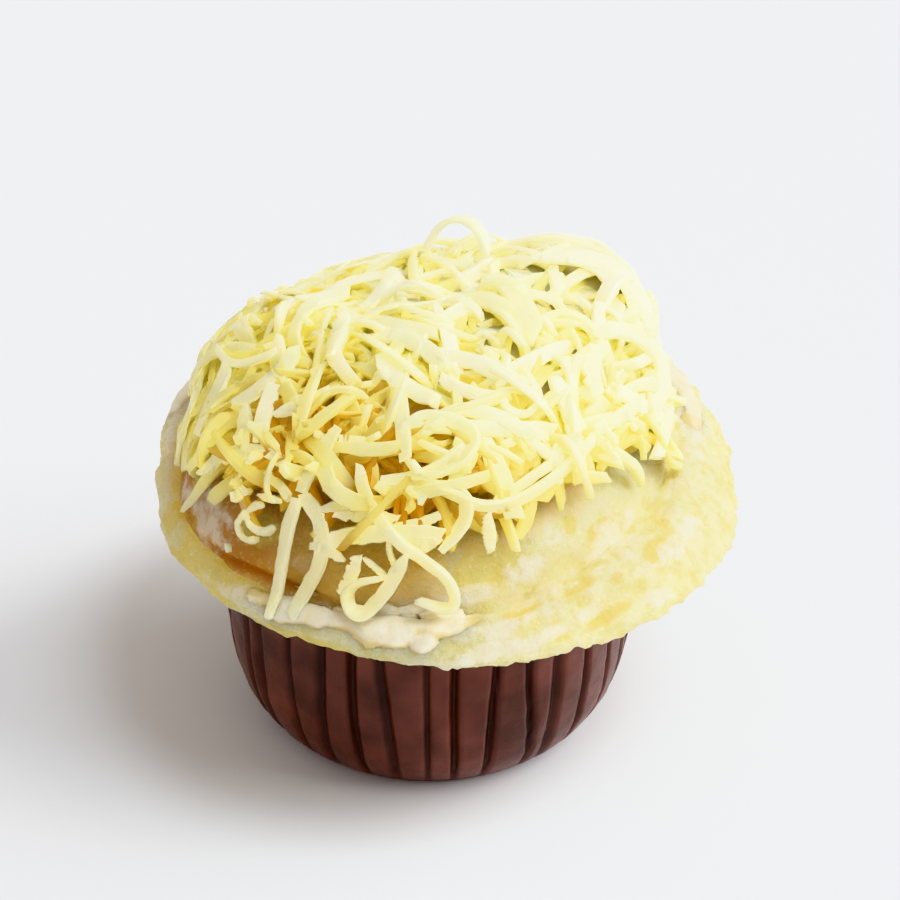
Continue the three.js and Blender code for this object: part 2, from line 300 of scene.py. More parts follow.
def heap_height(x, y):
    """Height of the heap over the bed, seen in plan."""
    inside = np.maximum(0, 1 - (x * x + y * y) / SKIRT_RADIUS**2)
    height = SKIRT * np.sqrt(inside)
    for mound_x, mound_y, radius, rise in MOUNDS:
        d2 = ((x / MM - mound_x) ** 2 + (y / MM - mound_y) ** 2) / radius**2
        height = height + rise * MM * np.maximum(0, 1 - d2) ** 1.2
    return height


def heap_point(bed, directions, share, lift):
    """Points at a share of the heap's height over the bed, moved out by a lift."""
    reach = bed.reach(directions)
    height = heap_height(reach * directions[:, 0], reach * directions[:, 1])
    return HEART + directions * (reach + GAP + share * height + lift)[:, None]


def heap_edge(azimuth):
    """The angle from straight up at which the heap ends."""
    notch = HEAP_NOTCH * np.maximum(0, np.cos(azimuth + 1)) ** 4
    return np.radians(HEAP_EDGE - notch + 3 * wave(azimuth, 2.1))


def shaded_hollow(azimuth, polar):
    """1 in the shaded hollow at the front left of the heap, where its gaps look deep."""
    down = smooth(math.radians(18), math.radians(34), polar)
    return facing(azimuth, HOLLOW_AZIMUTH, 62, 18) * down


def lee_share(points, out):
    """How far the heap is turned away from its open side. Less light gets through the cheese
    there, so it looks a deeper yellow. Where a piece faces counts for a quarter."""
    turned = lerp(outwards_at(points) @ OPEN_SIDE, out @ OPEN_SIDE, 0.25)
    return smooth(0.85, 0.2, turned)


# ---- Shreds of cheese ----
NAMED_STATIONS = 40
RIBBON_STATIONS = 12
BIT_STATIONS = 5
SHOULDER = 0.85  # width of a shred's flat faces, as a share of its full width


def shred_template(name, stations):
    """A straight bar one unit long, wide and thick, its long sides drawn out to an edge."""
    deselect()
    bpy.ops.mesh.primitive_cube_add(size=1)
    bar = named(name)
    bpy.ops.object.mode_set(mode="EDIT")
    cuts = [((i / (stations - 1) - 0.5, 0, 0), (1, 0, 0)) for i in range(1, stations - 1)]
    for place, normal in [((0, 0, 0), (0, 0, 1)), *cuts]:
        bpy.ops.mesh.select_all(action="SELECT")
        bpy.ops.mesh.bisect(plane_co=place, plane_no=normal)
    bpy.ops.mesh.select_all(action="SELECT")
    bpy.ops.mesh.normals_make_consistent(inside=False)
    bpy.ops.object.mode_set(mode="OBJECT")
    points = coordinates(bar)
    faces = [tuple(p.vertices) for p in bar.data.polygons]
    bpy.data.objects.remove(bar)
    return {
        "station": np.rint((points[:, 0] + 0.5) * (stations - 1)).astype(int),
        "across": np.where(np.abs(points[:, 2]) < 0.25, points[:, 1], points[:, 1] * SHOULDER),
        "up": points[:, 2],
        "stations": stations,
        "faces": faces,
    }


BENDS = (
    # axis of a shred's own frame, and the form's degrees round it from end to end
    ((1, 0, 0), "twist"),
    ((0, 1, 0), "curl"),
    ((0, 0, 1), "bow"),
)


def centreline(form, stations):
    """Centres and frames along a shred that curls, bows and twists, with its chord level."""
    spans = stations - 1
    step = form["length"] / spans
    turn = Quaternion((1, 0, 0), math.radians(form["roll"]))
    place = Vector((0, 0, 0))
    centres = []
    turns = []
    for i in range(stations):
        centres.append(place.copy())
        turns.append(turn.copy())
        place += turn @ Vector((step, 0, 0))
        uneven = 1 + form["uneven"] * math.sin(form["phase"] + 5 * i / spans)
        for axis, key in BENDS:
            turn = turn @ Quaternion(axis, math.radians(form[key]) / spans * uneven)
    chord = (centres[-1] - centres[0]).normalized()
    level = chord.rotation_difference(Vector((1, 0, 0)))
    middle = sum(centres, Vector()) / stations
    centres = np.array([level @ (c - middle) for c in centres])
    turns = np.array([(level @ t.to_matrix().to_quaternion()).to_matrix() for t in turns])
    return centres, turns


def smooth_route(knots, count):
    """Evenly spaced points on a smooth curve through a few knots."""
    knots = np.array(knots)
    knots = np.vstack([2 * knots[0] - knots[1], knots, 2 * knots[-1] - knots[-2]])
    dense = []
    for before, start, stop, after in zip(knots, knots[1:], knots[2:], knots[3:]):
        for t in np.linspace(0, 1, 10, endpoint=False):
            cubic = 3 * start - before - 3 * stop + after
            square = 2 * before - 5 * start + 4 * stop - after
            dense.append(start + 0.5 * ((stop - before) * t + square * t**2 + cubic * t**3))
    dense = np.array([*dense, knots[-2]])
    reach = np.concatenate([[0], np.cumsum(np.linalg.norm(np.diff(dense, axis=0), axis=1))])
    even = np.linspace(0, reach[-1], count)
    return np.stack([np.interp(even, reach, column) for column in dense.T], -1)


def routed_line(form, stations):
    """Centres and frames along a shred that follows a route over the heap, in millimetres."""
    centres = smooth_route([(*knot, 0.0) for knot in form["route"]], stations) * MM
    along = np.gradient(centres, axis=0)
    along /= np.linalg.norm(along, axis=1)[:, None]
    across = np.cross((0, 0, 1.0), along)
    across /= np.linalg.norm(across, axis=1)[:, None]
    up = np.cross(along, across)
    lean = np.radians(form["roll"] + form["twist"] * np.linspace(-0.5, 0.5, stations))[:, None]
    turned = np.cos(lean) * across + np.sin(lean) * up
    return centres, np.stack([along, turned, np.cross(along, turned)], -1)


def uneven_run(draw, stations):
    """Numbers from 0 to 1 along a shred, drawn anew at every second station."""
    knots = [next(draw) for _ in range(stations // 2 + 1)]
    return np.interp(np.linspace(0, len(knots) - 1, stations), np.arange(len(knots)), knots)


def taper_at_ends(form, centres, draw):
    """The width of a shred along its length, narrowed towards its torn ends."""
    along = np.linspace(0, 1, len(centres))
    starts, stops = lerp(0.25, 1, next(draw)), lerp(0.25, 1, next(draw))
    length = np.linalg.norm(np.diff(centres, axis=0), axis=1).sum()
    reach = 1.2 * form["width"] / length
    head = lerp(starts, 1, smooth(-0.02, reach, along))
    return head * lerp(stops, 1, smooth(-0.02, reach, 1 - along))


def shred_points(template, form, draw):
    """The vertices of a free shred: one clean edge, one torn edge and torn ends."""
    stations = template["stations"]
    centres, turns = (routed_line if "route" in form else centreline)(form, stations)
    torn = uneven_run(draw, stations)
    cut = uneven_run(draw, stations)
    clean = 1 - 0.35 * form["ragged"] * cut
    feathered = 1.15 - 1.5 * form["ragged"] * torn**2
    taper = taper_at_ends(form, centres, draw)
    station = template["station"]
    side = np.where(template["across"] > 0, clean[station], feathered[station])
    y = template["across"] * side * taper[station] * form["width"]
    z = template["up"] * (0.8 + 0.4 * cut[station]) * form["thickness"]
    slant = (next(draw) - 0.5) * 1.4
    x = np.where((station == 0) | (station == stations - 1), y * slant, 0)
    local = np.stack([x, y, z], -1)
    return centres[station] + np.einsum("nij,nj->ni", turns[station], local)


def lay(bed, points, azimuth, polar, heading, share, lift, sunk, loft):
    """Lays free points over the heap at a share of its height, with part of their own sunk in
    and the rest pressed down under a loft."""
    azimuth, polar, heading = (math.radians(a) for a in (azimuth, polar, heading))
    middle = direction_of(azimuth, polar)
    east = direction_of(azimuth + math.pi / 2, math.pi / 2)
    north = np.cross(middle, east)
    along = math.cos(heading) * east + math.sin(heading) * north
    across = np.cross(middle, along)
    towards = points[:, :1] * along + points[:, 1:2] * across
    distance = np.linalg.norm(towards, axis=1)
    swing = distance / BEND_RADIUS
    unit = towards / np.maximum(distance, 1e-9)[:, None]
    directions = middle * np.cos(swing)[:, None] + unit * np.sin(swing)[:, None]
    lowest = lerp(points[:, 2].min(), points[:, 2].max(), sunk)
    above = points[:, 2] - lowest + lift
    pressed = np.where(above > 0, loft * np.tanh(above / loft), above)
    return heap_point(bed, directions, share, pressed)


SHRED_DEFAULTS = {
    "curl": 0,
    "bow": 0,
    "twist": 0,
    "roll": 0,
    "uneven": 0,
    "phase": 0,
    "width": 2.4 * MM,
    "thickness": 0.9 * MM,
    "ragged": 0.3,
    "share": 0.85,
    "lift": 0.2 * MM,
    "sunk": 0,
    "loft": 12 * MM,
}
NAMED_DEFAULTS = {"uneven": 0.25, "heading": 0, "twist": 20, "share": 0.8, "ragged": 0.2}
LENGTH_KEYS = ("length", "width", "thickness", "lift")
PLACE_KEYS = ("azimuth", "polar", "heading", "share", "lift", "sunk", "loft")


def laid_shreds(bed, template, forms, seed):
    """Points, faces and each shred's own tone, for many shreds laid on the heap."""
    draw = stream(seed)
    points = []
    faces = []
    tones = []
    stations = []
    for number, form in enumerate(forms):
        form = {**SHRED_DEFAULTS, **form}
        free = shred_points(template, form, draw)
        points.append(lay(bed, free, **{key: form[key] for key in PLACE_KEYS}))
        tones.append(np.full(len(free), next(draw)))
        stations.append(template["station"] + number * template["stations"])
        faces += [tuple(v + number * len(free) for v in face) for face in template["faces"]]
    return {
        "points": np.concatenate(points),
        "faces": faces,
        "tone": np.concatenate(tones),
        "station": np.concatenate(stations),
        "stations": template["stations"],
    }


def strip(azimuth, polar, heading, length, bow=0, **more):
    """A shred seen in the photo that bows evenly: place, heading and bow in degrees, and its
    length in millimetres."""
    return dict(azimuth=azimuth, polar=polar, heading=heading, length=length, bow=bow, **more)


def traced(azimuth, polar, *route, **more):
    """A shred seen in the photo that follows a route: points in millimetres, to the east and to
    the north of its place."""
    return dict(azimuth=azimuth, polar=polar, route=route, **more)


NAMED_SHREDS = (
    # the long ones that hang over the front left
    strip(237, 67, -90, 18, roll=12),
    traced(243, 65, (-3, 8.4), (-0.1, 6.1), (1.7, 2.8), (1.7, -1.1), (0.2, -5.5), (-1, -9.1)),
    strip(238, 46, -97, 11, 13),
    strip(259, 31, -74, 18.3, -8),
    # the left edge
    strip(184, 58, -49, 17.2, -68),
    traced(221, 52, (-6.1, -2.9), (-5.7, -1.2), (-2.6, 0.9), (0.8, 2), (4.6, 1.9), (8, 1.2), width=1.8),
    strip(214, 51, -54, 13.2, -41),
    traced(229, 54, (-3.9, -0.2), (-1.4, 0.4), (1.1, 0.1), (3.2, -0.9), width=1.4),
    strip(218, 55, -63, 6.2, -37, width=2.2),
    strip(221, 59, 52, 3.0, 40, width=1.9, thickness=1.4),
    strip(229, 57, 8, 4.1, width=1.2),
    traced(
        229, 62,
        (-0.3, 2.5), (-2.3, 1.2), (-2.4, -0.7), (-0.8, -1.5), (1.5, -1), (2.7, 0.2),
        width=1.4, roll=55,
    ),
    traced(
        225, 65,
        (-0.4, 2.6), (-1.6, 0.4), (-0.6, -1.2), (1.2, -1.4), (2.6, -0.6),
        width=1.3, roll=60,
    ),
    strip(221, 71, -51, 1.4, width=1.4),
    strip(247, 63, -12, 5.5, -76, width=1.6),
    strip(187, 41, 43, 15.4, 82, width=1.2),
    strip(204, 38, 95, 13.2, 94),
    strip(214, 43, 121, 9.1, -16),
    strip(192, 50, 123, 12.1, 41),
    strip(207, 58, 66, 7.4, 39, width=1.8),
    # the loops in front
    traced(
        266, 61,
        (-7.9, 12.2), (-6.9, 8.6), (-4.3, 4.4), (-1.5, 1.3), (2.2, -1.1), (5.4, -3.7), (6.6, -6.6),
        (5.5, -8), (1.3, -6.9),
        width=1.9, lift=0.5, roll=35, twist=80,
    ),
    traced(
        259, 69,
        (4.2, 5.8), (2.9, 2.8), (1.2, -0.5), (-1.3, -3.5), (-3.5, -3.3), (-4.2, -1.2), (-2.7, 0.6),
        (0.9, 1.9),
        width=2.2, lift=0.2, roll=40, twist=95,
    ),
    strip(260, 58, 8, 16.4, -24, width=2.7),
    strip(264, 48, 15, 7.8, 27, width=1.7),
    traced(
        274, 54,
        (-3.4, 1.6), (-2.7, 3.4), (0.2, 3.8), (2.8, 2.1), (2.7, -0.7), (0.9, -3.2), (-0.8, -5),
        width=2.2, lift=0.3, roll=35, twist=70,
    ),
    strip(268, 55, 16, 6.6, 27, width=1.5),
    strip(268, 59, 6, 6.6, 63, width=2.7),
    strip(255, 55, 5, 9.6, width=2.2, ragged=0.6),
    strip(262, 61, -75, 6.9, 58, width=0.8),
    strip(253, 67, -108, 6.6, -39, ragged=0.6),
    strip(259, 65, -35, 5.4, width=0.9),
    strip(249, 53, 31, 7.2, 23, width=1.8),
    strip(280, 44, -128, 8.3, width=3.0),
    strip(275, 45, 32, 5.4, width=1.5),
    strip(284, 58, -90, 5.4, width=2.0),
    # the wide bows across the middle
    strip(291, 38, -14, 18.2, 16),
    traced(
        289, 48,
        (-12, 5.1), (-10.6, 2), (-7.5, -0.8), (-3.7, -3.3), (1, -3.6), (5.8, -2.1), (10.5, 0.2),
        (15.8, 3.4),
        width=1.8, lift=0.5, roll=45, twist=-60,
    ),
    traced(
        273, 40,
        (-5, 2.5), (-1.7, 3.9), (2.5, 3), (4.8, 0.6), (3.2, -2.7), (0.1, -4.3), (-3.3, -4.7),
        width=2.4, lift=0.3, roll=40, twist=70,
    ),
    traced(
        288, 37,
        (-8.8, 0.1), (-5.8, 2.2), (-1.9, 2.7), (2.6, 0.4), (5.2, -1.8), (8.8, -3.2),
        width=2.4, lift=0.6,
    ),
    strip(289, 48, -82, 12, 7, width=2.8),
    strip(299, 49, 15, 14.2, -18, width=1.6),
    strip(269, 45, 23, 13.2, 55, width=2.0),
    strip(249, 41, -3, 6.9, -14),
    strip(306, 48, -116, 6.7, 54, width=2.2),
    strip(303, 46, -64, 8.2, -47, width=1.6),
    # high on the heap
    strip(206, 21, -35, 10.5, -11, width=2.8, thickness=1.6),
    strip(218, 12, 14, 19.7, 28),
    strip(167, 24, 147, 11, -62),
    traced(259, 26, (-4, 4.3), (-2.3, 1), (1.1, -1.2), (5.8, -3.1), width=2.8, lift=0.5),
    strip(292, 24, -44, 16.2, -23),
    strip(68, 15, 0, 13, curl=150, width=1.8, share=0.95),
    strip(260, 17, -30, 14, -51, width=2.6),
    strip(223, 37, 54, 9.7, 13, width=2.0),
    strip(147, 13, 171, 8.7, 52, width=2.0),
    strip(343, 18, -141, 16.6, -47, width=3.0),
    traced(
        302, 33,
        (-2, 2.1), (0.3, 2.2), (2.6, 0.4), (2.6, -2), (0.3, -3.2), (-1.9, -1.8), (-2.1, -0.1),
        width=1.1, lift=0.6,
    ),
    strip(286, 29, -36, 8.9, 44, width=2.0),
    traced(19, 31, (1.9, 5.7), (1.2, 2.1), (0.3, 0.1), (-1, -1.7), (-4.4, -3.4), width=1.9, roll=25),
    traced(17, 30, (-4.5, 5.2), (-0.7, 0.9), (0.9, -1.6), (3.5, -4.8), width=1.6, share=0.72),
    traced(12, 34, (2.7, 5.2), (2.4, 1.3), (1.7, -1.4), (-3.1, -4.8), width=1.3, lift=0.5, roll=40),
    # the right edge
    strip(314, 44, -106, 14.9, -23),
    strip(335, 37, -153, 10.1, 119, width=3.2, ragged=0.6),
    strip(317, 39, -86, 8.4, 36, width=2.0),
    strip(341, 49, -61, 9.5, 17, width=2.0),
    strip(332, 47, -9, 11.6, 10, width=2.2),
    strip(350, 54, -152, 17.7, -27),
    strip(351, 44, -107, 20.7, -156),
    strip(17, 36, -119, 17.3, -44),
)


def named_forms():
    """The named shreds with their sizes in metres."""
    for form in NAMED_SHREDS:
        sizes = {key: form[key] * MM for key in LENGTH_KEYS if key in form}
        yield {**NAMED_DEFAULTS, "phase": form["azimuth"], **form, **sizes}


def loose_forms(count, seed, shares, lengths, widths, curl, bow):
    """Shreds spread evenly over the heap, between two shares of its height. Most are nearly
    straight, some curl up and over, and their ends dive into the heap."""
    draw = stream(seed)
    for i in range(count):
        azimuth = i * 137.5 + 40 * (next(draw) - 0.5)
        edge = math.degrees(heap_edge(math.radians(azimuth)))
        polar = (edge - 3) * math.sqrt((i + 0.5) / count) + 4 * (next(draw) - 0.5)
        back = smooth(-0.3, 0.5, math.sin(math.radians(azimuth)))
        yield {
            "azimuth": azimuth,
            "polar": polar,
            "heading": 360 * next(draw),
            "length": lerp(*lengths, next(draw)) * MM,
            "curl": lerp(-0.35, 1, next(draw)) * curl,
            "bow": (2 * next(draw) - 1) ** 3 * bow,
            "twist": (2 * next(draw) - 1) ** 3 * 200,
            "roll": (2 * next(draw) - 1) * 55,
            "uneven": 0.9 * next(draw),
            "phase": 6 * next(draw),
            "width": lerp(*widths, next(draw)) * MM,
            "thickness": lerp(0.7, 1.2, next(draw)) * MM,
            "ragged": lerp(0.2, 0.55, next(draw)),
            "share": lerp(*shares, next(draw)),
            "lift": 0,
            "sunk": 0.4,
            "loft": lerp(4.5, 2.9, back) * MM,
        }


RAY_RINGS = ((40, 4), (68, 7))  # degrees from straight outwards, and how many rays


def ray_fan(outwards):
    """One ray straight outwards and two rings of rays round it."""
    side = np.cross(outwards, (0.3, 0.2, 1.0))
    side /= np.linalg.norm(side)
    other = np.cross(outwards, side)
    rays = [outwards]
    for slope, count in RAY_RINGS:
        for turn in np.arange(count) * 2 * math.pi / count:
            flat = math.cos(turn) * side + math.sin(turn) * other
            tilt = math.radians(slope)
            rays.append(math.cos(tilt) * outwards + math.sin(tilt) * flat)
    return rays


RAY_START = 0.9 * MM
RAY_REACH = 8 * MM


def packed_shade_share(tree, group):
    """How far each station of a shred lies buried: the share of its rays that meet cheese,
    evened out over five stations. The cheese's material paints shade by it."""
    station = group["station"]
    count = np.bincount(station)
    centres = np.stack([np.bincount(station, column) / count for column in group["points"].T], -1)
    shares = np.empty(len(centres))
    for i, (centre, outwards) in enumerate(zip(centres, outwards_at(centres))):
        rays = ray_fan(outwards)
        starts = [Vector(centre + RAY_START * ray) for ray in rays]
        hits = [tree.ray_cast(start, Vector(ray), RAY_REACH) for start, ray in zip(starts, rays)]
        shares[i] = sum(hit[0] is not None for hit in hits) / len(rays)
    runs = shares.reshape(-1, group["stations"])
    padded = np.pad(runs, ((0, 0), (2, 2)), mode="edge")
    even = sum(padded[:, i : i + group["stations"]] for i in range(5)) / 5
    return even.ravel()[station]


def tree_of_points(groups):
    """One search tree over the faces of several groups."""
    points = []
    faces = []
    for group in groups:
        faces += [tuple(v + len(points) for v in face) for face in group["faces"]]
        points += group["points"].tolist()
    return BVHTree.FromPolygons(points, faces)


def mesh_piece(name, points, faces):
    mesh = bpy.data.meshes.new(name)
    mesh.from_pydata(points.tolist(), [], faces)
    obj = bpy.data.objects.new(name, mesh)
    bpy.context.scene.collection.objects.link(obj)
    return obj


def joined(pieces, name):
    """Several objects joined into one."""
    activate(pieces[0])
    for piece in pieces:
        piece.select_set(True)
    bpy.ops.object.join()
    return named(name)


# ---- Materials ----
def set_inputs(tree, node, inputs):
    """Gives a node its inputs; each is a value, or another node's output to link."""
    for key, value in inputs.items():
        if isinstance(value, bpy.types.NodeSocket):
            tree.links.new(value, node.inputs[key])
        else:
            node.inputs[key].default_value = value


def add_node(tree, kind, settings=None, inputs=None):
    """Adds a node with its settings and its inputs."""
    node = tree.nodes.new(kind)
    for name, value in (settings or {}).items():
        setattr(node, name, value)
    set_inputs(tree, node, inputs or {})
    return node


def new_material(name):
    material = bpy.data.materials.new(name)
    material.use_nodes = True
    tree = material.node_tree
    tree.nodes.clear()
    shader = add_node(tree, "ShaderNodeBsdfPrincipled")
    add_node(tree, "ShaderNodeOutputMaterial", inputs={"Surface": shader.outputs[0]})
    return material, tree, shader


def pattern(tree, grain, detail=3.0, roughness=0.55, warp=0.0):
    """Noise on object coordinates with lumps about one grain wide, from 0 to 1."""
    place = add_node(tree, "ShaderNodeTexCoord").outputs["Object"]
    inputs = {
        "Vector": place,
        "Scale": 1 / grain,
        "Detail": detail,
        "Roughness": roughness,
        "Distortion": warp,
    }
    return add_node(tree, "ShaderNodeTexNoise", inputs=inputs).outputs["Fac"]


def stepped(tree, value, low, high, to_low=0.0, to_high=1.0):
    """A value's range from low to high, stretched to another range and clamped."""
    inputs = {"Value": value, "From Min": low, "From Max": high, "To Min": to_low, "To Max": to_high}
    return add_node(tree, "ShaderNodeMapRange", inputs=inputs).outputs["Result"]


MIX_SHARE, MIX_FIRST, MIX_SECOND, MIX_COLOUR = 0, 6, 7, 2  # sockets of a mix of two colours


def blended(tree, share, first, second):
    """Two colours mixed by a share."""
    inputs = {MIX_SHARE: share, MIX_FIRST: first, MIX_SECOND: second}
    return add_node(tree, "ShaderNodeMix", {"data_type": "RGBA"}, inputs).outputs[MIX_COLOUR]


def scaled(tree, value, factor):
    """A value times a factor, which may be another value."""
    node = add_node(tree, "ShaderNodeMath", {"operation": "MULTIPLY"}, {0: value, 1: factor})
    return node.outputs[0]


def summed(tree, first, second):
    node = add_node(tree, "ShaderNodeMath", {"operation": "ADD"}, {0: first, 1: second})
    return node.outputs[0]


def feathered(tree, share, noise, strength, low, high):
    """A painted share whose border a pattern breaks up, stretched from low to high."""
    around = stepped(tree, noise, 0.25, 0.75, -0.5, 0.5)
    return stepped(tree, summed(tree, share, scaled(tree, around, strength)), low, high)


def painted(tree, name):
    return add_node(tree, "ShaderNodeAttribute", {"attribute_name": name}).outputs["Fac"]


def bumped(tree, shader, height, distance):
    bump = add_node(tree, "ShaderNodeBump", inputs={"Height": height, "Distance": distance})
    set_inputs(tree, shader, {"Normal": bump.outputs["Normal"]})


def let_light_in(tree, shader, weight, radius, scale):
    """Spreads light under the surface: by a share, the reach of each colour and a distance."""
    shader.subsurface_method = "BURLEY"
    set_inputs(tree, shader, {"Subsurface Weight": weight, "Subsurface Radius": radius})
    set_inputs(tree, shader, {"Subsurface Scale": scale})


def glassine_paper(settings):
    """Brown glassine (baking-case paper), pleated by a press: smooth, slightly greasy, lighter where it
    stretches, with painted shade darkening the folds."""
    material, tree, shader = new_material("pleated glassine paper")
    fibres = pattern(tree, 1.2 * MM, 5.0, 0.7)
    clouds = pattern(tree, 9 * MM, 2.0)
    lighter = stepped(tree, clouds, 0.35, 0.65)
    tone = blended(tree, lighter, settings.paper_colour, linear("#71433a"))
    # painted shade: the paper is darkened where it folds in
    fold_shade = stepped(tree, painted(tree, "fold"), 0.15, 0.9, 0.0, 0.75)
    tone = blended(tree, fold_shade, tone, linear("#200e0b"))
    gloss = stepped(tree, fibres, 0.3, 0.7, 0.28, 0.42)
    set_inputs(tree, shader, {"Base Color": tone, "Roughness": gloss})
    set_inputs(tree, shader, {"Specular IOR Level": 0.3, "IOR": 1.5})
    bumped(tree, shader, fibres, 0.08 * MM)
    return material


def crust_tone(settings, tree, broad, middle, fine):
    """The crust's colours, from the dough's own outwards: browned, with painted shade weighting it to
    the left, buttered, the seam's painted shadow, film, flecks, and the golden light that comes down
    through the cheese."""
    mottled = stepped(tree, middle, 0.38, 0.62)
    tone = blended(tree, mottled, settings.butter_colour, linear("#e8e4bc"))
    # painted shade: the tan is browning above the seam, weighted to the left, the side away from the
    # light
    browned_and_shaded = feathered(tree, painted(tree, "tan"), middle, 0.5, 0.05, 0.95)
    tone = blended(tree, browned_and_shaded, tone, settings.crust_colour)
    golden = feathered(tree, painted(tree, "gold"), broad, 1.2, 0.2, 0.7)
    tone = blended(tree, scaled(tree, golden, 0.8), tone, linear("#dfcb6c"))
    # painted shadow: the dark orange line that the inner coil's overhang casts into the seam
    seam = feathered(tree, painted(tree, "seam"), middle, 0.3, 0.25, 0.85)
    tone = blended(tree, seam, tone, linear("#a9621a"))
    milky = feathered(tree, painted(tree, "film"), middle, 1.6, 0.3, 1.0)
    tone = blended(tree, scaled(tree, milky, 0.72), tone, linear("#efe9d4"))
    tone = blended(tree, stepped(tree, fine, 0.6, 0.72, 0.0, 0.7), tone, linear("#f6f1de"))
    sheltered = feathered(tree, painted(tree, "sheltered"), middle, 0.5, 0.1, 0.9)
    return blended(tree, sheltered, tone, linear("#ffd67c"))


def brioche_crust(settings):
    """Brioche (rich yeast dough), baked and brushed with butter: tan where it browned, with painted
    shade making it darker at the left, pale yellow on the sides, golden where butter pooled, with a
    milky film of buttercream and a painted shadow in the seam."""
    material, tree, shader = new_material("buttered brioche crust")
    broad = pattern(tree, 6 * MM, 5.0, 0.6, 0.4)
    middle = pattern(tree, 2.6 * MM, 6.0, 0.65)
    fine = pattern(tree, 0.7 * MM, 4.0, 0.65)
    tone = crust_tone(settings, tree, broad, middle, fine)
    gloss = stepped(tree, middle, 0.35, 0.65, 0.3, 0.6)
    set_inputs(tree, shader, {"Base Color": tone, "Roughness": gloss, "IOR": 1.45})
    let_light_in(tree, shader, 1.0, (1.0, 0.75, 0.35), 8.0 * MM)
    bumped(tree, shader, summed(tree, middle, scaled(tree, fine, 0.35)), 1.7 * MM)
    return material


def buttercream_finish(settings):
    """Buttercream (whipped butter and sugar): pale ivory, soft gloss, yellower where it thins."""
    material, tree, shader = new_material("whipped buttercream")
    soft = pattern(tree, 3 * MM, 4.0)
    tone = blended(tree, stepped(tree, soft, 0.35, 0.7), settings.cream_colour, linear("#eadfb8"))
    thin = feathered(tree, painted(tree, "thin"), soft, 0.8, 0.2, 0.9)
    tone = blended(tree, thin, tone, linear("#e2cd8c"))
    set_inputs(tree, shader, {"Base Color": tone, "Roughness": 0.35, "IOR": 1.45})
    let_light_in(tree, shader, 0.5, (1.0, 0.85, 0.5), 2.0 * MM)
    bumped(tree, shader, pattern(tree, 1.2 * MM, 4.0), 0.25 * MM)
    return material


# the painted shade of the gaps turns from pale to yellow between these shares of lee
LEE_STARTS = (0.05, 0.35)  # how far from the open side the gaps turn from pale to yellow


def grated_cheese_finish(settings):
    """Mild processed cheese, freshly grated: waxy and translucent, pale lemon in the light, with
    painted
    shade: a deeper yellow where shreds lie packed or turned away from the light, orange in the shaded
    hollow."""
    material, tree, shader = new_material("grated processed cheese")
    packed, lee, shade = (painted(tree, name) for name in ("packed", "lee", "shade"))
    tone = blended(tree, painted(tree, "tone"), settings.cheese_colour, linear("#eeeedc"))
    # painted shade: duller yellow on the side turned from the light
    tone = blended(tree, scaled(tree, lee, 0.85), tone, linear("#d3cf96"))
    # painted shade: deeper yellow where a shred lies buried among others
    tone = blended(tree, stepped(tree, packed, 0.2, 0.6), tone, linear("#dfd884"))
    # painted light and shade for buried parts: paler towards the light, duller away from it, darker in
    # the shaded hollow
    lit = blended(tree, stepped(tree, lee, *LEE_STARTS), linear("#f3ec9a"), linear("#eedc4e"))
    deep = blended(tree, lee, lit, linear("#d2ca74"))
    deep = blended(tree, shade, deep, linear("#c4a640"))
    tone = blended(tree, stepped(tree, packed, 0.5, 0.9), tone, deep)
    # painted shade: dark orange in the deepest gaps of the shaded hollow
    deepest_shade = scaled(tree, stepped(tree, packed, 0.78, 1.02), shade)
    tone = blended(tree, deepest_shade, tone, linear("#af7a14"))
    set_inputs(tree, shader, {"Base Color": tone, "Roughness": 0.34, "IOR": 1.46})
    let_light_in(tree, shader, 1.0, (1.0, 0.9, 0.5), 4.0 * MM)
    bumped(tree, shader, pattern(tree, 0.6 * MM, 2.0), 0.08 * MM)
    return material


def packed_cheese_finish():
    """The same cheese deep in the heap, where light has passed through many shreds."""
    material, tree, shader = new_material("packed grated cheese")
    soft = pattern(tree, 3 * MM, 3.0)
    # painted light: the deep, bright yellow of light that has come through the shreds above
    tone = blended(tree, stepped(tree, soft, 0.35, 0.65), linear("#ffd430"), linear("#ffe04c"))
    # painted light and shade: paler on the side towards the light, dark orange in the shaded hollow
    away = stepped(tree, painted(tree, "lee"), *LEE_STARTS)
    tone = blended(tree, away, linear("#fff0a4"), tone)
    tone = blended(tree, painted(tree, "shade"), tone, linear("#c88420"))
    set_inputs(tree, shader, {"Base Color": tone, "Roughness": 0.6})
    let_light_in(tree, shader, 0.8, (1.0, 0.7, 0.2), 4.0 * MM)
    return material


def seamless_floor():
    """A roll of matt white studio paper."""
    material, tree, shader = new_material("white studio paper")
    tone = blended(tree, pattern(tree, 40 * MM, 2.0), linear("#e9eaec"), linear("#ecedef"))
    set_inputs(tree, shader, {"Base Color": tone, "Roughness": 0.7})
    return material


# ---- Settings ----
def count_setting(name, description, default, least=0):
    return IntProperty(name=name, description=description, default=default, min=least)


def colour_setting(name, description, hex_colour):
    return FloatVectorProperty(
        name=name, description=description, default=linear(hex_colour), size=4, subtype="COLOR"
    )


